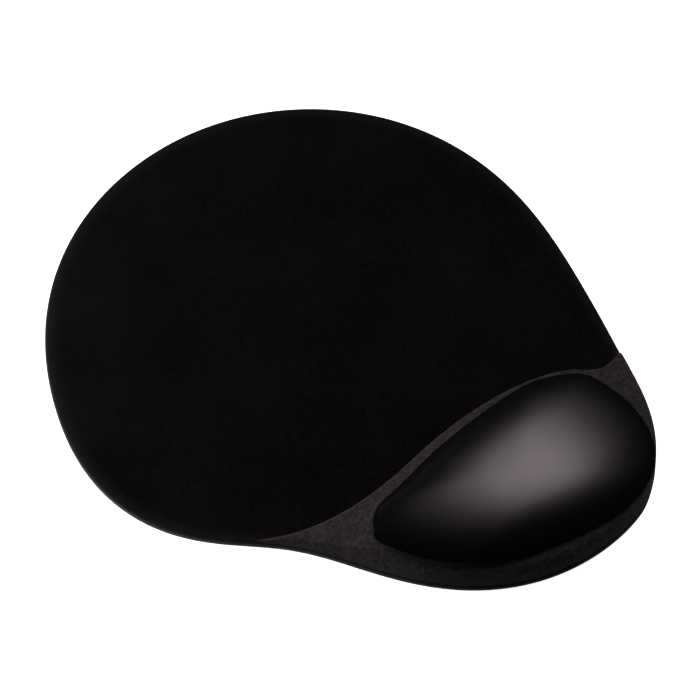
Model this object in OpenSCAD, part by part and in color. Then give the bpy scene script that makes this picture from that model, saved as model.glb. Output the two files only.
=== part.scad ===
// Round mouse pad with a gel wrist rest set in a raised collar at its front.
// The user sits on the -Y side. Z = 0 is the desk.

/* [Mousing area] */
// Radius of the round mousing area
disc_r = 101; // [90:0.5:120]
// Depth of the waist between the disc and the rest, left side
waist_depth = 19; // [12:0.5:24]
// Direction of the waist from the front, degrees to the left
waist_deg = 50.5; // [46:0.5:55]
// Half spread of the waist, degrees
waist_half_deg = 25; // [20:0.5:30]
// How far the cheek behind the waist stands out
cheek_rise = 2.5; // [0:0.5:6]
// Direction of the cheek from the front, degrees to the left
cheek_deg = 97; // [85:1:110]
// Half spread of the cheek, degrees
cheek_half_deg = 22; // [16:0.5:28]
// How far the hip beside the nose stands out, right side
hip_rise = 2; // [0:0.5:4]
// Direction of the hip from the front, degrees to the right
hip_deg = 16; // [12:0.5:22]
// Half spread of the hip, degrees
hip_half_deg = 9; // [6:0.5:14]

/* [Nose] */
// Direction of the nose from the front, degrees to the right
nose_deg = 2.5; // [0:0.5:5]
// Peakedness of the nose, lower is more pointed
nose_peak = 1.65; // [1.5:0.05:2]
// Distance from the front of the cushion to the front edge of the sheet
front_land = 4.3; // [3.6:0.1:9]
// Least land between the cushion and the sheet's edge on the left
left_land = 6.5; // [5:0.1:10]
// Least land between the cushion and the sheet's edge on the right
right_land = 4.9; // [4:0.1:9]

/* [Sheet] */
// Thickness of the rubber grip base
base_t = 1.0; // [0.6:0.1:3]
// Thickness of the foam core
foam_t = 1.6; // [1.2:0.1:5]
// Thickness of the tracking cloth
cloth_t = 0.4; // [0.2:0.05:0.8]
// Rounding of the pressed edge of the cloth
edge_r = 1.4; // [0.9:0.1:1.6]

/* [Cushion] */
// Length of the cushion
rest_len = 102.5; // [92:0.5:114]
// Width of the cushion behind its long axis, on the side of the mousing area
rest_back = 14; // [11:0.5:17]
// Width of the cushion before its long axis, on the side of the user
rest_front = 44; // [39:0.5:48]
// How much wider one end of the cushion is than the other
rest_taper = 0.16; // [0.08:0.01:0.24]
// Slant of the cushion's long axis, degrees
rest_tilt = -13.5; // [-17:0.5:-9]
// Sideways lean of the cushion, as a share of its width
rest_lean = -0.32; // [-0.42:0.01:-0.22]
// Sideways place of the long axis's middle from the disc's centre
rest_x = -14.8; // [-19:0.1:-11]
// How far the long axis's middle lies outside the disc's edge
rest_out = -5.6; // [-10:0.1:0]
// Height of the cushion's crown above its edge
crown_h = 9; // [5:0.5:16]
// Flatness of the crown's top, higher is flatter
crown_flat = 2.9; // [2:0.1:4]
// Fullness of the crown's shoulder, lower is fuller
crown_full = 0.45; // [0.4:0.05:1]
// How far the cushion swells over the collar's lip
bulge = 1.6; // [1.4:0.1:3]
// Rounding of the cushion's edge where it swells over the lip
roll_r = 1.0; // [0.9:0.1:1.4]

/* [Collar] */
// Height of the collar's rim above the mousing area
rim_h = 11; // [7:0.5:16]
// Bare hem of the sheet outside the collar
hem = 1.0; // [0.6:0.1:1.2]
// Width of the collar beside the mousing area
ridge_w = 6.4; // [5:0.1:9]
// Rounding of the collar's shoulder
shoulder_r = 2.2; // [1.5:0.1:3]
// Rounding of the lip at the cushion
lip_r = 0.8; // [0.3:0.1:1.2]
// Length over which the wings fall away from the rim
wing_run = 24; // [18:1:40]
// Direction of the left horn's tip from the front, degrees to the left
horn_left_deg = 62; // [58:0.5:65]
// Direction of the right horn's tip from the front, degrees to the right
horn_right_deg = 28.5; // [27:0.5:32]
// Thickness of the stretch cloth on the collar
cover_t = 0.6; // [0.3:0.1:0.7]

/* [Gel bladder] */
// Thickness of the bladder's film
film_t = 0.5; // [0.3:0.1:0.8]
// Width of the welded flange under the collar
flange_w = 0.8; // [0.5:0.1:0.9]
// Thickness of the double-sided tapes
tape_t = 0.3; // [0.1:0.05:0.5]
// Width of the bladder's rim that the tape leaves free
tape_inset = 4; // [2:0.5:10]
// Clearance between the bladder and the collar
fit = 0.2; // [0.1:0.05:0.3]

/* [Hidden] */

// Steps along each curve
rim_n = 96;
egg_n = 144;
pad_n = 72;
front_n = 46;
horn_n = 10;
ridge_n = 18;
// Halvings in the search for the core's foot
halvings = 12;

// Levels of the layers
foam_top = base_t + foam_t;
sheet_top = foam_top + cloth_t;
tape_top = sheet_top + tape_t;
backing_top = tape_top + film_t;
flange_top = backing_top + film_t;
tuck_z = flange_top + fit;
seat_z = sheet_top + rim_h;
crown_z = seat_z + roll_r;

// Bump that is 1 in the middle and dies away on both sides
function bell(x) = exp(-x * x);

// Direction a from the front, positive to the right, at distance r
function polar(a, r) = r * [sin(a), -cos(a)];

function unit(v) = v / norm(v);

// Turns a point of the cushion's own axes to the part's axes and back
function turn(p, a) = [p.x * cos(a) - p.y * sin(a), p.x * sin(a) + p.y * cos(a)];

// Egg outline of the cushion about the middle of its long axis
function egg_half(t) = sin(t) > 0 ? rest_back : rest_front;
function egg_y(t) = sin(t) * egg_half(t) * (1 + rest_taper * cos(t));
function egg(t) = [cos(t) * rest_len / 2 + rest_lean * egg_y(t), egg_y(t)];

// The nose reaches just past the cushion's front
rest_mid = [rest_x, -disc_r - rest_out];
egg_raw = [for (k = [0:egg_n - 1]) rest_mid + turn(egg(k * 360 / egg_n), rest_tilt)];
nose_reach = front_land - min([for (p = egg_raw) p.y]) - disc_r;

// What waist, cheek and hip add to the sheet's edge in direction a
function side_add(a) =
    cheek_rise * bell((a + cheek_deg) / cheek_half_deg) + hip_rise * bell((a - hip_deg) / hip_half_deg)
    - waist_depth * bell((a + waist_deg) / waist_half_deg);

// Spread of the nose that leaves the land beside a point of the cushion, seen a degrees off the nose
function nose_need(p, land) =
    let (a = atan2(p.x, -p.y),
         part = (norm(p) + land - disc_r - side_add(a)) / nose_reach)
    part > 0 && part < 1 ? abs(a - nose_deg) / pow(-ln(part), 1 / nose_peak) : 0;
function bearing(p) = atan2(p.x, -p.y) - nose_deg;
left_shy = 18;
right_shy = 8;
nose_left = max([for (p = egg_raw) if (bearing(p) < -left_shy) nose_need(p, left_land)]);
nose_right = max([for (p = egg_raw) if (bearing(p) > right_shy) nose_need(p, right_land)]);

// Edge of the sheet as a radius about the disc's centre
function nose(a) = nose_reach * exp(-pow(abs(a) / (a < 0 ? nose_left : nose_right), nose_peak));
function edge_radius(a) = disc_r + nose(a - nose_deg) + side_add(a);
function edge_raw(a) = polar(a, edge_radius(a));
function edge_normal(a) = let (t = unit(edge_raw(a + 0.5) - edge_raw(a - 0.5))) [t.y, -t.x];

// The box round the sheet is centred on the origin
rim_angles = [for (k = [0:rim_n - 1]) k * 360 / rim_n - 180];
edge_x = [for (a = rim_angles) edge_raw(a).x];
edge_y = [for (a = rim_angles) edge_raw(a).y];
disc_c = -[max(edge_x) + min(edge_x), max(edge_y) + min(edge_y)] / 2;
rest_c = disc_c + rest_mid;

// Point on the sheet's edge, moved inwards by inset
function edge_point(a, inset) = disc_c + edge_raw(a) - inset * edge_normal(a);
function edge_ring(inset, z) = [for (a = rim_angles) concat(edge_point(a, inset), z)];

// Edge of the cushion, and the same moved outwards
function egg_point(t) = rest_c + turn(egg(t), rest_tilt);
function egg_tangent(t) = unit(egg_point(t + 0.5) - egg_point(t - 0.5));
function egg_out(t, d) = let (u = egg_tangent(t)) egg_point(t) + d * [u.y, -u.x];
egg_ring = [for (k = [0:egg_n - 1]) egg_point(k * 360 / egg_n)];

// A hub inside the cushion, from which every section of the rest is seen once
hub = rest_c + turn([-0.06 * rest_len, -0.45 * rest_front], rest_tilt);

// Foot of the collar: sheet edge from horn to horn, then back beside the mousing area
left_tip = edge_point(-horn_left_deg, hem);
right_tip = edge_point(horn_right_deg, hem);
left_root_deg = 107;
right_root_deg = 12;
left_root = egg_out(left_root_deg, ridge_w);
right_root = egg_out(right_root_deg, ridge_w);
// Each horn leaves the ridge along its tangent u and points away from the hub at its tip
function bend(root, u, tip) = root + u * cross(hub - root, tip - hub) / cross(u, tip - hub);
left_bend = bend(left_root, egg_tangent(left_root_deg), left_tip);
right_bend = bend(right_root, egg_tangent(right_root_deg), right_tip);
function curve(p, q, r, u) = (1 - u) * (1 - u) * p + 2 * u * (1 - u) * q + u * u * r;
function mix(p, q, k, n) = p + (q - p) * k / n;
foot_ring = [
    for (k = [0:front_n - 1]) edge_point(mix(-horn_left_deg, horn_right_deg, k, front_n), hem),
    for (k = [0:horn_n - 1]) curve(right_tip, right_bend, right_root, k / horn_n),
    for (k = [0:ridge_n - 1]) egg_out(mix(right_root_deg, left_root_deg, k, ridge_n), ridge_w),
    for (k = [0:horn_n - 1]) curve(left_root, left_bend, left_tip, k / horn_n)
];
ray_n = len(foot_ring);

// Rays from the hub to the foot carry the sections of the collar
ray = [for (p = foot_ring) unit(p - hub)];
foot = [for (p = foot_ring) norm(p - hub)];
function crossing(d, p, q) =
    let (e = q - p, det = cross(d, e), u = det == 0 ? -1 : cross(p, d) / det)
    u >= 0 && u < 1 ? cross(p, e) / det : 0;
function along(d) = max([for (k = [0:egg_n - 1])
    crossing(d, egg_ring[k] - hub, egg_ring[(k + 1) % egg_n] - hub)]);
eye = [for (d = ray) along(d)];
function on_ray(i, r) = hub + r * ray[i];
function level_ring(radii, z) = [for (i = [0:ray_n - 1]) concat(on_ray(i, radii[i]), z)];
function flat_ring(radii) = [for (i = [0:ray_n - 1]) on_ray(i, radii[i])];

// The bladder's sections, even round the cushion
pad_edge = [for (k = [0:pad_n - 1]) egg_point(k * 360 / pad_n)];
function pad_point(k, out) = let (d = pad_edge[k] - hub) hub + d + out * unit(d);
function pad_flat(out) = [for (k = [0:pad_n - 1]) pad_point(k, out)];
function pad_ring(out, z) = [for (k = [0:pad_n - 1]) concat(pad_point(k, out), z)];

// Distance from a point to the collar's foot
function to_segment(p, a, b) =
    let (e = b - a, u = min(1, max(0, (p - a) * e / (e * e)))) norm(p - a - u * e);
function to_foot(p) = min([for (k = [0:ray_n - 1]) to_segment(p, foot_ring[k], foot_ring[(k + 1) % ray_n])]);

// Radius along a ray where the foot is still one cover away
function inner_foot(i, lo, hi, left) =
    left == 0 ? lo
    : let (m = (lo + hi) / 2)
      to_foot(on_ray(i, m)) > cover_t ? inner_foot(i, m, hi, left - 1) : inner_foot(i, lo, m, left - 1);

// Height of the collar's cloth above the sheet: falls away from the rim, rounds over at the foot
share = [0, 0.12, 0.3, 0.55, 0.78, 0.92, 1];
function wing(d) = rim_h * exp(-d / wing_run);
function roll(d, r) = d >= r ? 1 : sqrt(max(0, 1 - (1 - d / r) * (1 - d / r)));
function lip(d) = d >= lip_r ? 0 : lip_r - sqrt(lip_r * lip_r - (lip_r - d) * (lip_r - d));
function cover_point(i, s) =
    let (d = s * (foot[i] - eye[i]), p = on_ray(i, eye[i] + d), away = s == 1 ? 0 : to_foot(p))
    concat(p, sheet_top + (wing(d) - lip(d)) * roll(away, shoulder_r));
function core_point(i, s, end) =
    let (a = eye[i] + cover_t,
         d = s * (end - a),
         p = on_ray(i, a + d),
         away = s == 1 ? 0 : max(0, to_foot(p) - cover_t),
         rise = max(tape_t, wing(d + cover_t) - cover_t - tape_t))
    concat(p, tape_top + rise * roll(away, shoulder_r - cover_t));

// Crown of the cushion, h high over the middle of its width, with a rolled edge t inside the film's face
crown_c = rest_c + turn([rest_lean, 1] * (rest_back - rest_front) / 2, rest_tilt);
crown_share = [0.2, 0.4, 0.58, 0.74, 0.87, 0.95, 0.985, 1];
function crown_ring(s, out, h) = [for (k = [0:pad_n - 1])
    concat(crown_c + s * (pad_point(k, out) - crown_c), crown_z + h * pow(1 - pow(s, crown_flat), crown_full))];
function rolled(t) = [for (a = [30, 60, 90])
    pad_ring(bulge - roll_r + (roll_r - t) * cos(a), crown_z - (roll_r - t) * sin(a))];
function crowned(t) = concat([for (s = crown_share) crown_ring(s, bulge - t, crown_h - t)], rolled(t),
                             [pad_ring(-fit - t, seat_z + t)]);
function crown_top(t) = concat(crown_c, crown_z + crown_h - t);

// Solid through rings of points, closed by a point at each end
module capped(rings, first, last) {
    n = len(rings[0]);
    m = len(rings);
    points = concat([for (r = rings) each r], [first, last]);
    walls = [for (j = [0:m - 2], i = [0:n - 1])
        let (a = j * n + i, b = j * n + (i + 1) % n)
        each [[a, b, a + n], [b, b + n, a + n]]];
    tops = [for (i = [0:n - 1]) [n * m, (i + 1) % n, i]];
    ends = [for (i = [0:n - 1]) [n * m + 1, n * (m - 1) + i, n * (m - 1) + (i + 1) % n]];
    polyhedron(points, concat(walls, tops, ends), convexity = 6);
}

// Solid ring through rings of points, closed on itself
module looped(rings) {
    n = len(rings[0]);
    m = len(rings);
    polyhedron([for (r = rings) each r], [for (j = [0:m - 1], i = [0:n - 1])
        let (k = (j + 1) % m, a = j * n + i, b = j * n + (i + 1) % n, c = k * n + i, d = k * n + (i + 1) % n)
        each [[a, b, c], [b, d, c]]], convexity = 10);
}

// Rings of the pressed edge, t inside the sheet's outer face
function edge_rings(t) =
    let (r = edge_r - t, z = sheet_top - t)
    [edge_ring(edge_r, z), edge_ring(t + r * (1 - sin(35)), z - r * (1 - cos(35))),
     edge_ring(t + r * (1 - sin(68)), z - r * (1 - cos(68))), edge_ring(t, z - r), edge_ring(t, base_t)];
function reversed(list) = [for (k = [len(list) - 1:-1:0]) list[k]];

module grip_base() {
    color("#262626") linear_extrude(base_t) polygon([for (a = rim_angles) edge_point(a, 0)]);
}

module foam_core() {
    color("#303030") capped(edge_rings(cloth_t), concat(disc_c, foam_top), concat(disc_c, base_t));
}

module tracking_cloth() {
    color("#141315")
        capped(concat(edge_rings(0), reversed(edge_rings(cloth_t))),
               concat(disc_c, sheet_top), concat(disc_c, foam_top));
}

module collar_core() {
    end = [for (i = [0:ray_n - 1]) inner_foot(i, eye[i] + cover_t, foot[i], halvings)];
    step = [for (r = eye) r + flange_w + fit];
    tops = [for (s = share) [for (i = [0:ray_n - 1]) core_point(i, s, end[i])]];
    color("#3a393a")
        looped(concat(tops, [level_ring(step, tape_top), level_ring(step, tuck_z),
                             level_ring([for (r = eye) r + cover_t], tuck_z)]));
}

module collar_cover() {
    end = [for (i = [0:ray_n - 1]) inner_foot(i, eye[i] + cover_t, foot[i], halvings)];
    outer = [for (s = share) [for (i = [0:ray_n - 1]) cover_point(i, s)]];
    inner = [for (s = share) [for (i = [0:ray_n - 1]) core_point(i, s, end[i])]];
    color("#2b282b")
        looped(concat(outer, [level_ring(end, sheet_top)], reversed(inner),
                      [level_ring([for (r = eye) r + cover_t], tuck_z), level_ring(eye, tuck_z)]));
}

module collar_tape() {
    end = [for (i = [0:ray_n - 1]) inner_foot(i, eye[i] + cover_t, foot[i], halvings)];
    color("#b9b5a8") translate([0, 0, sheet_top]) linear_extrude(tape_t) difference() {
        polygon(flat_ring([for (r = end) r - fit]));
        polygon(flat_ring([for (r = eye) r + flange_w + fit]));
    }
}

module gel_skin() {
    color("#0c0b0c")
        capped(concat(crowned(0), [pad_ring(-fit, flange_top), pad_ring(flange_w, flange_top),
                                   pad_ring(flange_w, backing_top), pad_ring(-fit - film_t, backing_top)],
                      reversed(crowned(film_t))),
               crown_top(0), crown_top(film_t));
}

module gel_fill() {
    color("#4a4652")
        capped(concat(crowned(film_t), [pad_ring(-fit - film_t, backing_top)]),
               crown_top(film_t), concat(hub, backing_top));
}

module gel_backing() {
    color("#1b1a1b") translate([0, 0, tape_top]) linear_extrude(film_t) polygon(pad_flat(flange_w));
}

module gel_tape() {
    color("#b9b5a8") translate([0, 0, sheet_top]) linear_extrude(tape_t) polygon(pad_flat(-tape_inset));
}

grip_base();
foam_core();
tracking_cloth();
collar_core();
collar_cover();
collar_tape();
gel_skin();
gel_fill();
gel_backing();
gel_tape();
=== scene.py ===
import math

import bpy
import numpy as np
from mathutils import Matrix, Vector


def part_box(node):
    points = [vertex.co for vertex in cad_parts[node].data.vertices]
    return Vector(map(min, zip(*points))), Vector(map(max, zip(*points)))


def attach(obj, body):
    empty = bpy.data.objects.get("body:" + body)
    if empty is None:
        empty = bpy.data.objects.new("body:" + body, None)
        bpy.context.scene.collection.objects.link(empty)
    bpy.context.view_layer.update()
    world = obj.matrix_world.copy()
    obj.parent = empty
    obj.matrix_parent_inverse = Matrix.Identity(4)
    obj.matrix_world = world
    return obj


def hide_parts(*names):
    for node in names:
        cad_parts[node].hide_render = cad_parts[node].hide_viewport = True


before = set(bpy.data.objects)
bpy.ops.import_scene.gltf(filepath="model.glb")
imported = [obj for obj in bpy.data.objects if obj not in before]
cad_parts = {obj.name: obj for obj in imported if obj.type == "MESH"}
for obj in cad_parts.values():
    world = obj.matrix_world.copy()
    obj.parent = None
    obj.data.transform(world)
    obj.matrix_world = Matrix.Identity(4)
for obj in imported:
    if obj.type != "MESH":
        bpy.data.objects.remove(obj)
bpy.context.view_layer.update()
mm = 0.001  # every size below is in millimetres until it meets this
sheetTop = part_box("tracking_cloth")[1].z / mm
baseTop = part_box("grip_base")[1].z / mm
sameLevel = 0.005  # heights closer than this count as one
sameBearing = 0.05  # degrees, in the same way
edgeSamples = 2880  # points round an edge that is only measured
print("frame loaded,", len(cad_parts), "nodes")


# Camera, paper and lights

cameraRig = {
    "azimuth": -52.5,  # degrees, from the user's left
    "elevation": 59.0,
    "distance": 673.75,
    "lens": 90.0,
    "sensor": 36.0,
    "target": (0.7, 1.55, 0.0),
}


def heading(azimuth, elevation):  # azimuth 0 points at the user, 90 to the right
    a, e = math.radians(azimuth), math.radians(elevation)
    return Vector((math.sin(a) * math.cos(e), -math.cos(a) * math.cos(e), math.sin(e)))


def faceBack(thing, away):  # turned to what it was moved away from
    thing.rotation_mode = "QUATERNION"
    thing.rotation_quaternion = (-away).to_track_quat("-Z", "Y")


def makeCamera():
    away = heading(cameraRig["azimuth"], cameraRig["elevation"])
    spot = Vector(cameraRig["target"]) + away * cameraRig["distance"]
    bpy.ops.object.camera_add(location=spot * mm)
    camera = bpy.context.object
    camera.name = "photoCamera"
    faceBack(camera, away)
    camera.data.lens = cameraRig["lens"]
    camera.data.sensor_width = cameraRig["sensor"]
    bpy.context.scene.camera = camera


softboxes = {
    # the broad satin highlight on the cushion is this one's reflection
    "keySoftbox": {
        "aim": (-11, -87, 24), "azimuth": 112, "elevation": 62, "distance": 900,
        "size": (200, 200), "watts": 2.55, "tint": (1.0, 0.86, 0.88), "shines": True, "fills": False},
    # even, from the right, so the front band is left to the light that the paper throws back
    "backSoftbox": {
        "aim": (0, -10, 0), "azimuth": 85, "elevation": 54, "distance": 1200,
        "size": (400, 400), "watts": 10.0, "tint": (1.0, 0.97, 0.96), "shines": False, "fills": True},
    # low beside the back left rim, so the cloth's nap fades from there to the rest
    "rimSoftbox": {
        "aim": (-66, 90, 0), "azimuth": -130, "elevation": 12, "distance": 260,
        "size": (240, 70), "watts": 1.9, "tint": (1.0, 0.97, 0.97), "shines": False, "fills": True},
    # a low strip behind, which the crown reflects towards the user
    "stripSoftbox": {
        "aim": (-11, -87, 20), "azimuth": 170, "elevation": 20, "distance": 1100,
        "size": (700, 160), "watts": 0.12, "tint": (1.0, 0.93, 0.94), "shines": True, "fills": False},
    # under the paper, which lets it through to the rubber
    "underSoftbox": {
        "aim": (0, 0, 0), "azimuth": -40, "elevation": -84, "distance": 900,
        "size": (500, 300), "watts": 5.0, "tint": (1.0, 1.0, 1.0), "shines": True, "fills": True},
}


def makeSoftbox(name, box):
    away = heading(box["azimuth"], box["elevation"])
    spot = Vector(box["aim"]) + away * box["distance"]
    bpy.ops.object.light_add(type="AREA", location=spot * mm)
    lamp = bpy.context.object
    lamp.name = name
    faceBack(lamp, away)
    lamp.data.shape = "RECTANGLE"
    lamp.data.size, lamp.data.size_y = [side * mm for side in box["size"]]
    lamp.data.energy, lamp.data.color = box["watts"], box["tint"]
    lamp.visible_glossy, lamp.visible_diffuse = box["shines"], box["fills"]


def linear(hexText):  # sRGB hex to the linear colour that sockets take
    parts = [int(hexText[i:i + 2], 16) / 255 for i in (1, 3, 5)]
    return [c / 12.92 if c < 0.04045 else ((c + 0.055) / 1.055) ** 2.4 for c in parts] + [1]


def addNode(tree, kind, sockets=None, **settings):
    made = tree.nodes.new(kind)
    for name, value in settings.items():
        setattr(made, name, value)
    for name, value in (sockets or {}).items():
        if isinstance(value, bpy.types.NodeSocket):
            tree.links.new(value, made.inputs[name])
        else:
            made.inputs[name].default_value = value
    return made


def newMaterial(name):
    material = bpy.data.materials.new(name)
    material.use_nodes = True
    material.node_tree.nodes.clear()
    return material, material.node_tree


studio = {
    "paper": "#f4f4f4", "glow": 1.1, "ambient": "#161617",
    "paperRadius": 6000, "paperSides": 96, "paperDrop": 0.3,
}


def makePaper():
    bpy.ops.mesh.primitive_circle_add(
        vertices=studio["paperSides"], radius=studio["paperRadius"] * mm, fill_type="NGON",
        location=(0, 0, -studio["paperDrop"] * mm))
    paper = bpy.context.object
    paper.name = "studioPaper"
    material, tree = newMaterial("whitePaper")  # burnt out to plain white for the camera alone
    seen = addNode(tree, "ShaderNodeLightPath")
    glow = addNode(tree, "ShaderNodeMath", {
        0: seen.outputs["Is Camera Ray"], 1: studio["glow"]}, operation="MULTIPLY")
    white = addNode(tree, "ShaderNodeBsdfPrincipled", {
        "Base Color": linear(studio["paper"]), "Roughness": 0.9, "Specular IOR Level": 0.0,
        "Emission Color": linear(studio["paper"]), "Emission Strength": glow.outputs[0]})
    clear = addNode(tree, "ShaderNodeBsdfTransparent")
    side = addNode(tree, "ShaderNodeNewGeometry")  # from below the paper isn't there
    shader = addNode(tree, "ShaderNodeMixShader", {
        0: side.outputs["Backfacing"], 1: white.outputs[0], 2: clear.outputs[0]})
    addNode(tree, "ShaderNodeOutputMaterial", {"Surface": shader.outputs[0]})
    paper.data.materials.append(material)
    paper.visible_glossy = paper.visible_shadow = False


def makeWorld():  # dark round the pad, but as white as the paper where the camera sees it
    world = bpy.data.worlds.new("darkStudio")
    world.use_nodes = True
    tree = world.node_tree
    tree.nodes.clear()
    dark = addNode(tree, "ShaderNodeBackground", {"Color": linear(studio["ambient"])})
    pale = addNode(tree, "ShaderNodeBackground", {
        "Color": linear(studio["paper"]), "Strength": studio["glow"]})
    seen = addNode(tree, "ShaderNodeLightPath")
    mix = addNode(tree, "ShaderNodeMixShader", {
        0: seen.outputs["Is Camera Ray"], 1: dark.outputs[0], 2: pale.outputs[0]})
    addNode(tree, "ShaderNodeOutputWorld", {"Surface": mix.outputs[0]})
    bpy.context.scene.world = world
    bpy.context.scene.view_settings.view_transform = "Standard"


bpy.ops.object.select_all(action="DESELECT")
makeCamera()
for name, box in softboxes.items():
    makeSoftbox(name, box)
makePaper()
makeWorld()
print("camera, softboxes and paper placed")


# Outlines, read from the frame and made smooth

def cadLevel(node, level):  # plan points of a node at one height
    found = {(round(v.co.x / mm, 3), round(v.co.y / mm, 3))
             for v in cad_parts[node].data.vertices
             if abs(v.co.z / mm - level) < sameLevel}
    return np.array(sorted(found))


def bearingOf(offset):
    return np.arctan2(offset[:, 1], offset[:, 0])


def outerRing(points, centre):  # round the centre, the furthest point of each bearing
    offset = points - centre
    bearing = np.degrees(bearingOf(offset))
    order = np.argsort(bearing)
    groups = np.split(order, np.flatnonzero(np.diff(bearing[order]) > sameBearing) + 1)
    return points[[max(group, key=lambda i: np.hypot(*offset[i])) for group in groups]]


def smoothRun(points, steps):  # open Catmull-Rom run without its last point
    p = np.vstack([2 * points[0] - points[1], points, 2 * points[-1] - points[-2]])
    u = (np.arange(steps) / steps)[:, None]
    run = []
    for a, b, c, d in zip(p, p[1:], p[2:], p[3:]):
        run.append(0.5 * (2 * b + (c - a) * u + (2 * a - 5 * b + 4 * c - d) * u ** 2
                          + (3 * b - a - 3 * c + d) * u ** 3))
    return np.vstack(run)


def smoothRing(points, steps, sharpest=0):  # a closed ring with that many corners kept
    if not sharpest:
        wide = np.vstack([points[-2:], points, points[:3]])
        return smoothRun(wide, steps)[2 * steps:-2 * steps]
    back, ahead = points - np.roll(points, 1, axis=0), np.roll(points, -1, axis=0) - points
    cross = back[:, 0] * ahead[:, 1] - back[:, 1] * ahead[:, 0]
    turn = np.abs(np.arctan2(cross, (back * ahead).sum(axis=1)))
    corners = sorted(np.argsort(turn)[-sharpest:])
    points = np.roll(points, -corners[0], axis=0)
    ends = [c - corners[0] for c in corners] + [len(points)]
    points = np.vstack([points, points[:1]])
    return np.vstack([smoothRun(points[a:b + 1], steps) for a, b in zip(ends, ends[1:])])


def smoothShade(piece, degrees):
    bpy.ops.object.select_all(action="DESELECT")
    piece.select_set(True)
    bpy.context.view_layer.objects.active = piece
    bpy.ops.object.shade_smooth_by_angle(angle=math.radians(degrees))


def applyModifier(piece, name, kind, **settings):
    bpy.context.view_layer.objects.active = piece
    modifier = piece.modifiers.new(name, kind)
    for key, value in settings.items():
        setattr(modifier, key, value)
    bpy.ops.object.modifier_apply(modifier=name)


padSteps = 5  # points for each one of the solid's outline
padEdge = smoothRing(outerRing(cadLevel("grip_base", 0), (0, 0)), padSteps)
print("pad outline:", len(padEdge), "points")


# Sheet: rubber base and tracking cloth

def outlineFace(name, level):  # a filled face on the pad's outline
    bpy.ops.object.select_all(action="DESELECT")
    bpy.ops.mesh.primitive_circle_add(vertices=len(padEdge), radius=1, fill_type="NGON")
    piece = bpy.context.object
    piece.name = piece.data.name = name
    for v, (x, y) in zip(piece.data.vertices, padEdge):
        v.co = (x * mm, y * mm, level * mm)
    return piece


def selectEdges(piece, level):  # rim edges at one height, in edit mode
    bpy.ops.mesh.select_mode(type="EDGE")
    bpy.ops.mesh.select_all(action="DESELECT")
    bpy.ops.object.mode_set(mode="OBJECT")
    z = [v.co.z / mm for v in piece.data.vertices]
    for edge in piece.data.edges:
        edge.select = all(abs(z[i] - level) < sameLevel for i in edge.vertices)
    bpy.ops.object.mode_set(mode="EDIT")


def roundedSheet(name, bottom, top, roundedLevel, edge, segments):  # the outline with one rim rounded
    piece = outlineFace(name, bottom)
    bpy.ops.object.mode_set(mode="EDIT")
    bpy.ops.mesh.select_all(action="SELECT")
    rise = (0, 0, (top - bottom) * mm)
    bpy.ops.mesh.extrude_region_move(TRANSFORM_OT_translate={"value": rise})
    selectEdges(piece, roundedLevel)
    bpy.ops.mesh.bevel(offset=edge * mm, segments=segments)
    bpy.ops.mesh.select_all(action="SELECT")
    bpy.ops.mesh.normals_make_consistent(inside=False)
    bpy.ops.mesh.select_all(action="DESELECT")
    bpy.ops.object.mode_set(mode="OBJECT")
    return piece


gripBase = {"edge": 0.25, "segments": 2, "smooth": 40}


def makeGripBase():
    piece = roundedSheet("gripBase", 0, baseTop, 0, gripBase["edge"], gripBase["segments"])
    smoothShade(piece, gripBase["smooth"])
    return piece


trackingCloth = {
    "thick": 0.4, "pressedEdge": 1.4, "segments": 7, "smooth": 40,
    "downwards": -0.9,  # a face whose normal's z is below this looks down
    "rings": (0.99, 0.98, 0.97, 0.96, 0.94, 0.8, 0.6, 0.4, 0.2),  # shares of the way to the rim
    # how far in from the rim the painted sheen reaches, as a share of the way to the middle
    "paintedSheenShare": 0.06,
}


def ringTop(piece):  # the top, the one face with many sides, is cut in rings towards the middle
    for face in piece.data.polygons:
        face.select = len(face.vertices) > 4
    bpy.ops.object.mode_set(mode="EDIT")
    before = 1
    for ring in trackingCloth["rings"]:
        shrink = ring / before
        bpy.ops.mesh.extrude_region()
        bpy.ops.transform.resize(value=(shrink, shrink, 1), center_override=(0, 0, 0))
        before = ring
    bpy.ops.object.mode_set(mode="OBJECT")


def markPaintedSheen(piece):  # 1 at the rim, 0 from a little further in: the mask of the painted sheen in the material
    flat = np.array([v.co[:2] for v in piece.data.vertices]) / mm
    rim = np.interp(bearingOf(flat), bearingOf(padEdge), np.hypot(padEdge[:, 0], padEdge[:, 1]),
                    period=2 * math.pi)
    inwards = 1 - np.hypot(flat[:, 0], flat[:, 1]) / rim
    paintedSheenMask = piece.data.attributes.new("paintedSheenMask", "FLOAT", "POINT")
    paintedSheenMask.data.foreach_set("value", np.clip(1 - inwards / trackingCloth["paintedSheenShare"], 0, 1))


def makeTrackingCloth():
    piece = roundedSheet("trackingCloth", baseTop, sheetTop, sheetTop,
                         trackingCloth["pressedEdge"], trackingCloth["segments"])
    for face in piece.data.polygons:  # open below, where the sponge is
        face.select = face.normal.z < trackingCloth["downwards"]
    bpy.ops.object.mode_set(mode="EDIT")
    bpy.ops.mesh.select_mode(type="FACE")
    bpy.ops.mesh.delete(type="FACE")
    bpy.ops.object.mode_set(mode="OBJECT")
    ringTop(piece)
    applyModifier(piece, "clothThickness", "SOLIDIFY", thickness=trackingCloth["thick"] * mm, offset=-1)
    markPaintedSheen(piece)
    smoothShade(piece, trackingCloth["smooth"])
    return piece


base = makeGripBase()
cloth = makeTrackingCloth()
print("sheet made:", len(cloth.data.polygons), "faces of cloth")


# Rest: collar cover and gel cushion

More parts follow.
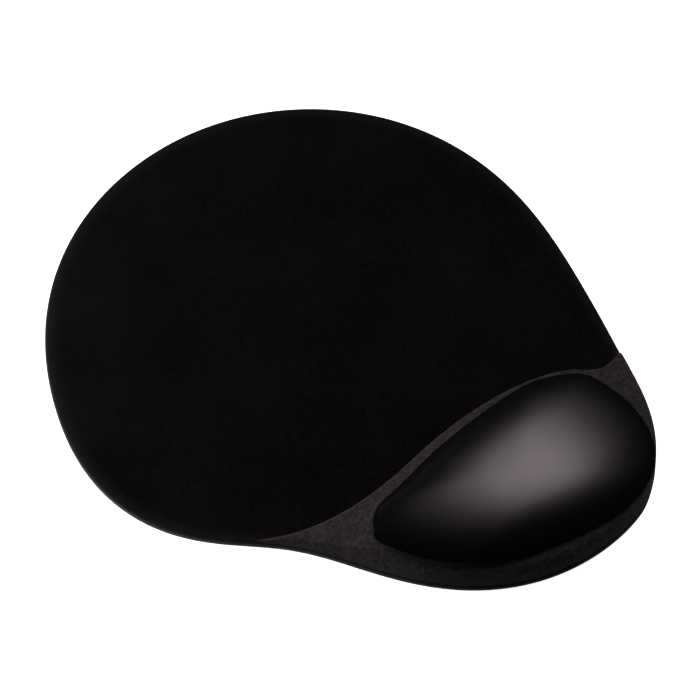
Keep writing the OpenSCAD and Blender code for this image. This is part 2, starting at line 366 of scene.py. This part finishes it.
cushion = {
    # egg: long axis, depth behind and before it, then how it narrows, turns and leans
    "length": 102.5, "behind": 14.0, "before": 44.0, "taper": 0.16, "slant": -13.5, "lean": -0.32,
    "hubShares": (-0.06, -0.45),  # of the length and of the depth before the axis
    # film: rise over its edge, how flat and full that is, and how it is drawn down to the ends
    "crown": 9.0, "flatness": 2.9, "fullness": 0.45, "leftFall": 0.22, "rightFall": 0.3,
    # edge: the solid's overhang, the roll over the lip, its seat and the gap to the collar
    "bulge": 1.6, "roll": 1.0, "seatLevel": 14.0, "fit": 0.2,
    "flange": 0.8, "flangeTop": 4.3, "flangeBottom": 3.8,
    # fineness of the mesh
    "solidSteps": 72, "grid": 72, "rollSteps": 5, "wallSteps": 4, "overhangSteps": 8, "smooth": 60,
    # swelling under the gel's pressure
    "slack": 0.98, "pressure": 220.0, "vertexMass": 0.003, "frames": 20,
    "mostSwell": 0.5, "evenings": 40,
    # how far the film hangs over the collar's lip, by bearing from the hub: the gel fills it unevenly
    "overhang": {-170: 3.1, -138: 2.0, -95: 1.0, -66: 1.1, -45: 2.4, -30: 2.0, -15: 1.4,
                 7: 1.2, 27: 2.8, 43: 1.5, 62: 0.9, 98: 0.8, 112: 0.9, 117: 1.2, 122: 2.0,
                 127: 3.2, 131: 3.0, 135: 1.8, 138: 0.7, 141: 0.0, 144: 0.0, 148: 0.7,
                 152: 1.2, 157: 1.7, 164: 2.5, 171: 2.7, 180: 2.9},
}


def turned(points, degrees):
    c, s = math.cos(math.radians(degrees)), math.sin(math.radians(degrees))
    x, y = points.T
    return np.column_stack([x * c - y * s, x * s + y * c])


def eggOutline(steps):  # the cushion's edge about the middle of its long axis
    t = np.radians(np.arange(steps) * 360 / steps)
    side = np.where(np.sin(t) > 0, cushion["behind"], cushion["before"])
    y = np.sin(t) * side * (1 + cushion["taper"] * np.cos(t))
    x = np.cos(t) * cushion["length"] / 2 + cushion["lean"] * y
    return turned(np.column_stack([x, y]), cushion["slant"])


def placed(x, y):  # a point of the cushion's own axes, from the middle of its long axis
    return turned(np.array([[x, y]]), cushion["slant"])[0]


alongShare, acrossShare = cushion["hubShares"]
hubOffset = placed(alongShare * cushion["length"], acrossShare * cushion["before"])
swollen = eggOutline(cushion["solidSteps"])  # the edge as the solid has it, to find the middle by
outward = swollen - hubOffset
swollen += cushion["bulge"] * outward / np.linalg.norm(outward, axis=1)[:, None]
lowest, highest = [np.array(corner[:2]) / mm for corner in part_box("gel_skin")]
restMiddle = (lowest + highest) / 2 - (swollen.min(axis=0) + swollen.max(axis=0)) / 2
hub = restMiddle + hubOffset
deep = (cushion["behind"] - cushion["before"]) / 2
crownMiddle = restMiddle + placed(cushion["lean"] * deep, deep)


def rays(bearings):
    return np.column_stack([np.cos(bearings), np.sin(bearings)])


def eggReach(bearings):  # distance from the hub to the cushion's edge
    edge = eggOutline(edgeSamples) + restMiddle - hub
    return np.interp(bearings, bearingOf(edge), np.linalg.norm(edge, axis=1), period=2 * math.pi)


def overhangAt(bearings):  # bearings from the hub
    table = np.array(list(cushion["overhang"].items()))
    wide = np.vstack([table[-3:] - (360, 0), table, table[:3] + (360, 0)])  # a little more than a turn
    fine = smoothRun(wide, cushion["overhangSteps"])
    return np.interp(np.degrees(bearings), fine[:, 0], fine[:, 1])


def swollenReach(bearings):  # distance from the crown's middle to the swollen edge
    allRound = np.linspace(-math.pi, math.pi, edgeSamples, endpoint=False)
    fromHub = eggReach(allRound) + overhangAt(allRound)
    edge = hub + rays(allRound) * fromHub[:, None] - crownMiddle
    return np.interp(bearings, bearingOf(edge), np.linalg.norm(edge, axis=1), period=2 * math.pi)


def skinRings(name, rings):  # rings of points joined by quads
    count = len(rings[0])
    points = [tuple(p * mm) for ring in rings for p in ring]
    faces = []
    for j in range(len(rings) - 1):
        for i in range(count):
            k = (i + 1) % count
            faces.append((j * count + i, j * count + k, (j + 1) * count + k, (j + 1) * count + i))
    mesh = bpy.data.meshes.new(name)
    mesh.from_pydata(points, [], faces)
    piece = bpy.data.objects.new(name, mesh)
    bpy.context.scene.collection.objects.link(piece)
    return piece


def lifted(flat, z):  # plan points with a height
    return np.column_stack([flat, np.broadcast_to(z, len(flat))])


collar = {
    "rim": 11.0, "lip": 0.8, "shoulder": 2.2, "wing": 24.0, "tuckLevel": 4.5, "thick": 0.55,
    "horns": 2, "steps": 6, "wallRings": 6, "rings": 34, "smooth": 60,
}


def makeCollarCover():
    solidFoot = outerRing(cadLevel("collar_cover", sheetTop), hub)
    foot = smoothRing(solidFoot, collar["steps"], sharpest=collar["horns"])
    offset = foot - hub
    reach = np.hypot(offset[:, 0], offset[:, 1])
    ray = offset / reach[:, None]
    eye = eggReach(bearingOf(offset))
    span = np.roll(foot, -1, axis=0) - foot
    spanSquared = np.maximum((span ** 2).sum(axis=1), 1e-9)  # never divides by nothing

    def toFoot(spots):  # nearest distance to the foot
        gap = spots[:, None] - foot[None]
        along = np.clip((gap * span).sum(axis=2) / spanSquared, 0, 1)
        return np.linalg.norm(gap - along[..., None] * span, axis=2).min(axis=1)

    inside = hub + ray * eye[:, None]
    top = sheetTop + collar["rim"] - collar["lip"]
    rings = [lifted(inside, z) for z in np.linspace(collar["tuckLevel"], top, collar["wallRings"])]
    width = reach - eye
    evenly = np.linspace(0, 1, collar["rings"])[1:]
    for share in (1 - np.cos(np.pi * evenly)) / 2:  # closer together at the lip and the foot
        fromEye = share * width
        spots = hub + ray * (eye + fromEye)[:, None]
        away = toFoot(spots) if share < 1 else np.zeros(len(spots))
        rise = collar["rim"] * np.exp(-fromEye / collar["wing"])
        near = np.clip(collar["lip"] - fromEye, 0, None)
        rise = rise - (collar["lip"] - np.sqrt(collar["lip"] ** 2 - near ** 2))  # round at the lip
        left = np.clip(1 - away / collar["shoulder"], 0, 1)
        rings.append(lifted(spots, sheetTop + rise * np.sqrt(1 - left ** 2)))  # round at the foot
    piece = skinRings("collarCover", rings)
    applyModifier(piece, "coverThickness", "SOLIDIFY", thickness=collar["thick"] * mm, offset=-1)
    smoothShade(piece, collar["smooth"])
    return piece


def roundedGrid(a, b):  # a square's point moved into the unit disc, as (share, bearing)
    if abs(a) > abs(b):
        share, bearing = a, math.pi / 4 * b / a
    else:
        share, bearing = b, math.pi / 2 - math.pi / 4 * (a / b if b else 0)
    return abs(share), bearing + (math.pi if share < 0 else 0)


def edgeProfile(edgeLevel):  # (overhang or not, reach past the opening, height) of each ring below
    bend = np.radians(np.linspace(0, 90, cushion["rollSteps"] + 1)[1:])
    rings = [(1, cushion["roll"] * (math.cos(a) - 1), edgeLevel - cushion["roll"] * math.sin(a))
             for a in bend]  # over the lip
    wall = np.linspace(cushion["seatLevel"], cushion["flangeTop"], cushion["wallSteps"] + 1)
    rings += [(0, -cushion["fit"], z) for z in wall]  # down the collar's wall
    rings += [(0, cushion["flange"], z)
              for z in (cushion["flangeTop"], cushion["flangeBottom"])]  # out under the collar
    return rings


def makeGelCushion():
    bpy.ops.object.select_all(action="DESELECT")
    bpy.ops.mesh.primitive_grid_add(  # from -1 to 1, then moved into the egg
        x_subdivisions=cushion["grid"], y_subdivisions=cushion["grid"], size=2)
    piece = bpy.context.object
    piece.name = piece.data.name = "gelCushion"
    slack = cushion["slack"]
    share, bearing = np.array([roundedGrid(v.co.x, v.co.y) for v in piece.data.vertices]).T
    share = np.sin(np.minimum(share, 1) * math.pi / 2)  # closer together where the film turns down
    flat = crownMiddle + rays(bearing) * (swollenReach(bearing) * share)[:, None]
    edgeLevel = cushion["seatLevel"] + cushion["roll"]
    dome = np.maximum(1 - share ** cushion["flatness"], 0) ** cushion["fullness"]
    along = (flat - crownMiddle) @ placed(1, 0) / (cushion["length"] / 2)
    fall = along ** 2 * np.where(along < 0, cushion["leftFall"], cushion["rightFall"])
    rise = cushion["crown"] * slack * dome * (1 - fall)
    for v, spot, z in zip(piece.data.vertices, flat, edgeLevel + rise):
        v.co = (*spot * mm, z * mm)
    bpy.ops.object.mode_set(mode="EDIT")
    bpy.ops.mesh.select_all(action="SELECT")
    bpy.ops.mesh.region_to_loop()
    for hangs, out, z in edgeProfile(edgeLevel):
        bpy.ops.mesh.extrude_edges_move()
        bpy.ops.object.mode_set(mode="OBJECT")
        rim = [v for v in piece.data.vertices if v.select]
        bearing = bearingOf(np.array([v.co[:2] for v in rim]) / mm - hub)
        clear = np.maximum(overhangAt(bearing), -out - cushion["fit"] / 2)  # stays outside the wall
        reach = eggReach(bearing) + out + hangs * clear
        for v, spot in zip(rim, hub + rays(bearing) * reach[:, None]):
            v.co = (*spot * mm, z * mm)
        bpy.ops.object.mode_set(mode="EDIT")
    bpy.ops.mesh.edge_face_add()  # the weld closes it below
    bpy.ops.mesh.select_all(action="SELECT")
    bpy.ops.mesh.normals_make_consistent(inside=False)
    bpy.ops.object.mode_set(mode="OBJECT")
    return piece


def inflate(piece):  # gel pressure on the film, which is welded at its edge and wall
    mesh = piece.data
    start = np.array([v.co for v in mesh.vertices])
    outward = np.array([v.normal for v in mesh.vertices])
    free = start[:, 2] / mm > cushion["seatLevel"] + cushion["roll"] / 2
    welded = piece.vertex_groups.new(name="welded")
    welded.add([int(i) for i in np.flatnonzero(~free)], 1, "ADD")
    bpy.context.view_layer.objects.active = piece
    pressure = piece.modifiers.new("gelPressure", "CLOTH")
    pressure.settings.mass = cushion["vertexMass"]
    pressure.settings.vertex_group_mass = "welded"
    pressure.settings.use_pressure = True
    pressure.settings.uniform_pressure_force = cushion["pressure"]
    pressure.settings.effector_weights.gravity = 0
    pressure.point_cache.frame_end = cushion["frames"]
    for step in range(1, cushion["frames"] + 1):
        bpy.context.scene.frame_set(step)
    bpy.ops.object.modifier_apply(modifier="gelPressure")
    bpy.context.scene.frame_set(1)
    moved = np.array([v.co for v in mesh.vertices]) - start
    swell = np.clip((moved * outward).sum(axis=1) / mm, 0, cushion["mostSwell"])
    a, b = np.array([edge.vertices[:] for edge in mesh.edges]).T
    count = len(start)
    meeting = np.bincount(a, minlength=count) + np.bincount(b, minlength=count)
    for _ in range(cushion["evenings"]):  # the gel evens the swelling out
        around = np.bincount(a, swell[b], count) + np.bincount(b, swell[a], count)
        swell = around / meeting * free
    for v, place in zip(mesh.vertices, start + outward * (swell * mm)[:, None]):
        v.co = place
    print("film swelled by up to", round(swell.max(), 2), "mm")


cover = makeCollarCover()
gel = makeGelCushion()
inflate(gel)
smoothShade(gel, cushion["smooth"])
print("rest made:", len(cover.data.polygons), "faces of cover,",
      len(gel.data.polygons), "of cushion")


# Materials

waveLength = 0.314159  # metres in one period of a wave texture at scale 1

knit = {
    "wale": 0.9, "course": 1.1, "fluff": 1.3, "cloud": 38.0, "deep": 0.12,
    "loopShare": 0.4, "cloudShare": 0.6,  # beside the fluff's 1
    # the pale grey is painted sheen, the light that the fuzz catches on the pressed edge and near the
    # rim
    "dark": "#030203", "light": "#0f0c0e", "paintedSheen": "#474445",
    "sheenStart": 0.1, "sheenFull": 1.1,  # below the sheet's top, where the painted sheen on the pressed edge starts and where it is full
    # how much painted sheen the pressed edge and the rim band get
    "pressedSheen": 0.6, "rimSheen": 0.09,
}


def warpKnit():  # dyed polyester warp knit: dead matte black, tiny loops, fluff, painted sheen on the pressed edge and near the rim
    material, tree = newMaterial("blackWarpKnit")
    place = addNode(tree, "ShaderNodeTexCoord").outputs["Object"]
    # real loops are about 0.4 mm wide and are drawn twice as wide so that they show
    wales, courses = [addNode(tree, "ShaderNodeTexWave", {
        "Vector": place, "Scale": waveLength / (knit[row] * mm), "Distortion": 1.2, "Detail": 1.0,
        "Detail Scale": 0.6}, bands_direction=way) for row, way in (("wale", "X"), ("course", "Y"))]
    loops = addNode(tree, "ShaderNodeMath", {
        0: wales.outputs["Fac"], 1: courses.outputs["Fac"]}, operation="MULTIPLY")
    fluff = addNode(tree, "ShaderNodeTexNoise", {
        "Vector": place, "Scale": 1 / (knit["fluff"] * mm), "Detail": 4.0, "Roughness": 0.6})
    cloud = addNode(tree, "ShaderNodeTexNoise", {
        "Vector": place, "Scale": 1 / (knit["cloud"] * mm), "Detail": 2.0})
    mixed = addNode(tree, "ShaderNodeMath", {
        0: loops.outputs[0], 1: knit["loopShare"], 2: fluff.outputs["Fac"]}, operation="MULTIPLY_ADD")
    mixed = addNode(tree, "ShaderNodeMath", {
        0: cloud.outputs["Fac"], 1: knit["cloudShare"], 2: mixed.outputs[0]}, operation="MULTIPLY_ADD")
    tone = addNode(tree, "ShaderNodeMapRange", {
        "Value": mixed.outputs[0], "From Min": 0.7, "From Max": 1.1})
    colour = addNode(tree, "ShaderNodeMix", {
        0: tone.outputs[0], 6: linear(knit["dark"]), 7: linear(knit["light"])}, data_type="RGBA")
    height = addNode(tree, "ShaderNodeSeparateXYZ", {"Vector": place})
    # painted sheen: the rounded pressed edge and a band along the rim are mixed towards the pale grey
    pressed = addNode(tree, "ShaderNodeMapRange", {
        "Value": height.outputs["Z"], "From Min": (sheetTop - knit["sheenStart"]) * mm,
        "From Max": (sheetTop - knit["sheenFull"]) * mm, "To Max": knit["pressedSheen"]})
    nearRim = addNode(tree, "ShaderNodeAttribute", attribute_name="paintedSheenMask")
    fade = addNode(tree, "ShaderNodeMapRange", {
        "Value": nearRim.outputs["Fac"], "To Max": knit["rimSheen"]}, interpolation_type="SMOOTHSTEP")
    paintedSheenMask = addNode(tree, "ShaderNodeMath", {
        0: pressed.outputs[0], 1: fade.outputs[0]}, operation="MAXIMUM")
    paintedSheen = addNode(tree, "ShaderNodeMix", {
        0: paintedSheenMask.outputs[0], 6: colour.outputs[2], 7: linear(knit["paintedSheen"])}, data_type="RGBA")
    bump = addNode(tree, "ShaderNodeBump", {
        "Height": mixed.outputs[0], "Strength": 0.6, "Distance": knit["deep"] * mm})
    shader = addNode(tree, "ShaderNodeBsdfPrincipled", {
        "Base Color": paintedSheen.outputs[2], "Roughness": 0.95, "Specular IOR Level": 0.03,
        "Sheen Weight": 0.03, "Sheen Roughness": 0.5, "Normal": bump.outputs[0]})
    addNode(tree, "ShaderNodeOutputMaterial", {"Surface": shader.outputs[0]})
    return material


pile = {
    "rib": 1.0, "nap": 1.3, "mottle": 7.0, "deep": 0.15,
    "ribShare": 0.05, "mottleShare": 0.3,  # beside the nap's 1
    "dark": "#161415", "light": "#3c373a",
}


def stretchKnit():  # brushed stretch knit: charcoal, a soft pile, mottled where the nap lies unevenly
    material, tree = newMaterial("brushedStretchKnit")
    place = addNode(tree, "ShaderNodeTexCoord").outputs["Object"]
    # real ribs are about 0.5 mm apart and are drawn twice as wide so that they show
    ribs = addNode(tree, "ShaderNodeTexWave", {
        "Vector": place, "Scale": waveLength / (pile["rib"] * mm), "Distortion": 2.5, "Detail": 2.0,
        "Detail Scale": 0.5}, bands_direction="DIAGONAL")
    nap = addNode(tree, "ShaderNodeTexNoise", {
        "Vector": place, "Scale": 1 / (pile["nap"] * mm), "Detail": 5.0, "Roughness": 0.65})
    mottle = addNode(tree, "ShaderNodeTexNoise", {
        "Vector": place, "Scale": 1 / (pile["mottle"] * mm), "Detail": 3.0})
    mixed = addNode(tree, "ShaderNodeMath", {
        0: ribs.outputs["Fac"], 1: pile["ribShare"], 2: nap.outputs["Fac"]}, operation="MULTIPLY_ADD")
    mixed = addNode(tree, "ShaderNodeMath", {
        0: mottle.outputs["Fac"], 1: pile["mottleShare"], 2: mixed.outputs[0]}, operation="MULTIPLY_ADD")
    tone = addNode(tree, "ShaderNodeMapRange", {
        "Value": mixed.outputs[0], "From Min": 0.46, "From Max": 0.98})
    colour = addNode(tree, "ShaderNodeMix", {
        0: tone.outputs[0], 6: linear(pile["dark"]), 7: linear(pile["light"])}, data_type="RGBA")
    bump = addNode(tree, "ShaderNodeBump", {
        "Height": mixed.outputs[0], "Strength": 0.7, "Distance": pile["deep"] * mm})
    shader = addNode(tree, "ShaderNodeBsdfPrincipled", {
        "Base Color": colour.outputs[2], "Roughness": 0.92, "Specular IOR Level": 0.1,
        "Sheen Weight": 0.01, "Sheen Roughness": 0.5, "Normal": bump.outputs[0]})
    addNode(tree, "ShaderNodeOutputMaterial", {"Surface": shader.outputs[0]})
    return material


film = {"grain": 0.7, "haze": 9.0, "deep": 0.02, "dark": "#040404", "light": "#080707"}


def satinFilm():  # black polyurethane film on gel: satin, faint leathery grain, one broad soft highlight
    material, tree = newMaterial("satinPolyurethaneFilm")
    place = addNode(tree, "ShaderNodeTexCoord").outputs["Object"]
    # the pressed grain is about 0.3 mm and is drawn twice as wide so that it shows
    grain = addNode(tree, "ShaderNodeTexVoronoi", {
        "Vector": place, "Scale": 1 / (film["grain"] * mm)}, feature="SMOOTH_F1")
    haze = addNode(tree, "ShaderNodeTexNoise", {
        "Vector": place, "Scale": 1 / (film["haze"] * mm), "Detail": 3.0})
    rough = addNode(tree, "ShaderNodeMapRange", {
        "Value": haze.outputs["Fac"], "From Min": 0.3, "From Max": 0.7, "To Min": 0.36, "To Max": 0.38})
    colour = addNode(tree, "ShaderNodeMix", {
        0: haze.outputs["Fac"], 6: linear(film["dark"]), 7: linear(film["light"])}, data_type="RGBA")
    bump = addNode(tree, "ShaderNodeBump", {
        "Height": grain.outputs["Distance"], "Strength": 0.25, "Distance": film["deep"] * mm})
    shader = addNode(tree, "ShaderNodeBsdfPrincipled", {
        "Base Color": colour.outputs[2], "Roughness": rough.outputs[0], "IOR": 1.5,
        "Normal": bump.outputs[0]})
    addNode(tree, "ShaderNodeOutputMaterial", {"Surface": shader.outputs[0]})
    return material


rubber = {"emboss": 3.2, "deep": 0.3, "bloom": 14.0, "dark": "#2b2a29", "light": "#403e3c"}


def embossedRubber():  # moulded natural rubber: dull black, a fine pressed diamond that grips the desk
    material, tree = newMaterial("embossedNaturalRubber")
    place = addNode(tree, "ShaderNodeTexCoord").outputs["Object"]
    aslant = addNode(tree, "ShaderNodeMapping", {"Vector": place, "Rotation": (0, 0, math.pi / 4)})
    rising, falling = [addNode(tree, "ShaderNodeTexWave", {
        "Vector": aslant.outputs[0], "Scale": waveLength / (rubber["emboss"] * mm)},
        bands_direction=way) for way in ("X", "Y")]
    diamonds = addNode(tree, "ShaderNodeMath", {
        0: rising.outputs["Fac"], 1: falling.outputs["Fac"]}, operation="MULTIPLY")
    bloom = addNode(tree, "ShaderNodeTexNoise", {
        "Vector": place, "Scale": 1 / (rubber["bloom"] * mm), "Detail": 4.0})
    colour = addNode(tree, "ShaderNodeMix", {
        0: bloom.outputs["Fac"], 6: linear(rubber["dark"]), 7: linear(rubber["light"])},
        data_type="RGBA")
    rough = addNode(tree, "ShaderNodeMapRange", {
        "Value": diamonds.outputs[0], "To Min": 0.9, "To Max": 0.6})
    bump = addNode(tree, "ShaderNodeBump", {
        "Height": diamonds.outputs[0], "Strength": 0.8, "Distance": rubber["deep"] * mm})
    shader = addNode(tree, "ShaderNodeBsdfPrincipled", {
        "Base Color": colour.outputs[2], "Roughness": rough.outputs[0], "IOR": 1.52,
        "Normal": bump.outputs[0]})
    addNode(tree, "ShaderNodeOutputMaterial", {"Surface": shader.outputs[0]})
    return material


foams = {
    "blackSpongeRubber": {"cell": 0.8, "deep": 0.2, "dark": "#1d1c1c", "light": "#3a3939"},
    "mouldedFoam": {"cell": 0.5, "deep": 0.2, "dark": "#252425", "light": "#444344"},
}


def cellFoam(name):  # closed-cell rubber foam: dull, pitted by cut cells
    foam = foams[name]
    material, tree = newMaterial(name)
    place = addNode(tree, "ShaderNodeTexCoord").outputs["Object"]
    cells = addNode(tree, "ShaderNodeTexVoronoi", {"Vector": place, "Scale": 1 / (foam["cell"] * mm)})
    # darker towards each cell's middle, where the cut pit is deepest: painted shade in the pits
    colour = addNode(tree, "ShaderNodeMix", {
        0: cells.outputs["Distance"], 6: linear(foam["dark"]), 7: linear(foam["light"])},
        data_type="RGBA")
    bump = addNode(tree, "ShaderNodeBump", {
        "Height": cells.outputs["Distance"], "Strength": 0.5, "Distance": foam["deep"] * mm})
    shader = addNode(tree, "ShaderNodeBsdfPrincipled", {
        "Base Color": colour.outputs[2], "Roughness": 0.95, "Normal": bump.outputs[0]})
    addNode(tree, "ShaderNodeOutputMaterial", {"Surface": shader.outputs[0]})
    return material


tape = {"fibre": 0.8, "drawnOut": 0.15, "dark": "#a9a493", "light": "#c9c5b6"}


def tissueTape():  # double-sided tissue tape: cream, fibres under a glossy adhesive
    material, tree = newMaterial("creamTissueTape")
    place = addNode(tree, "ShaderNodeTexCoord").outputs["Object"]
    drawn = addNode(tree, "ShaderNodeMapping", {"Vector": place, "Scale": (1, tape["drawnOut"], 1)})
    fibres = addNode(tree, "ShaderNodeTexNoise", {
        "Vector": drawn.outputs[0], "Scale": 1 / (tape["fibre"] * mm), "Detail": 4.0, "Roughness": 0.7})
    colour = addNode(tree, "ShaderNodeMix", {
        0: fibres.outputs["Fac"], 6: linear(tape["dark"]), 7: linear(tape["light"])}, data_type="RGBA")
    shader = addNode(tree, "ShaderNodeBsdfPrincipled", {
        "Base Color": colour.outputs[2], "Roughness": 0.45, "IOR": 1.47})
    addNode(tree, "ShaderNodeOutputMaterial", {"Surface": shader.outputs[0]})
    return material


filmLook, tapeLook = satinFilm(), tissueTape()
pieces = [
    (base, embossedRubber(), ["grip_base"], "grip_rubber"),
    (cloth, warpKnit(), ["tracking_cloth"], "tracking_cloth"),
    (cover, stretchKnit(), ["collar_cover"], "collar_cloth"),
    (gel, filmLook, ["gel_skin", "gel_fill"], "gel_film"),
]
for piece, material, nodes, slot in pieces:
    piece.data.materials.clear()
    piece.data.materials.append(material)
    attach(piece, "root")
    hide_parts(*nodes)
hidden = {
    "foam_core": cellFoam("blackSpongeRubber"), "collar_core": cellFoam("mouldedFoam"),
    "collar_tape": tapeLook, "gel_tape": tapeLook, "gel_backing": filmLook,
}
for node, material in hidden.items():
    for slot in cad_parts[node].material_slots:
        slot.material = material

print("materials given and pieces tied to the frame")
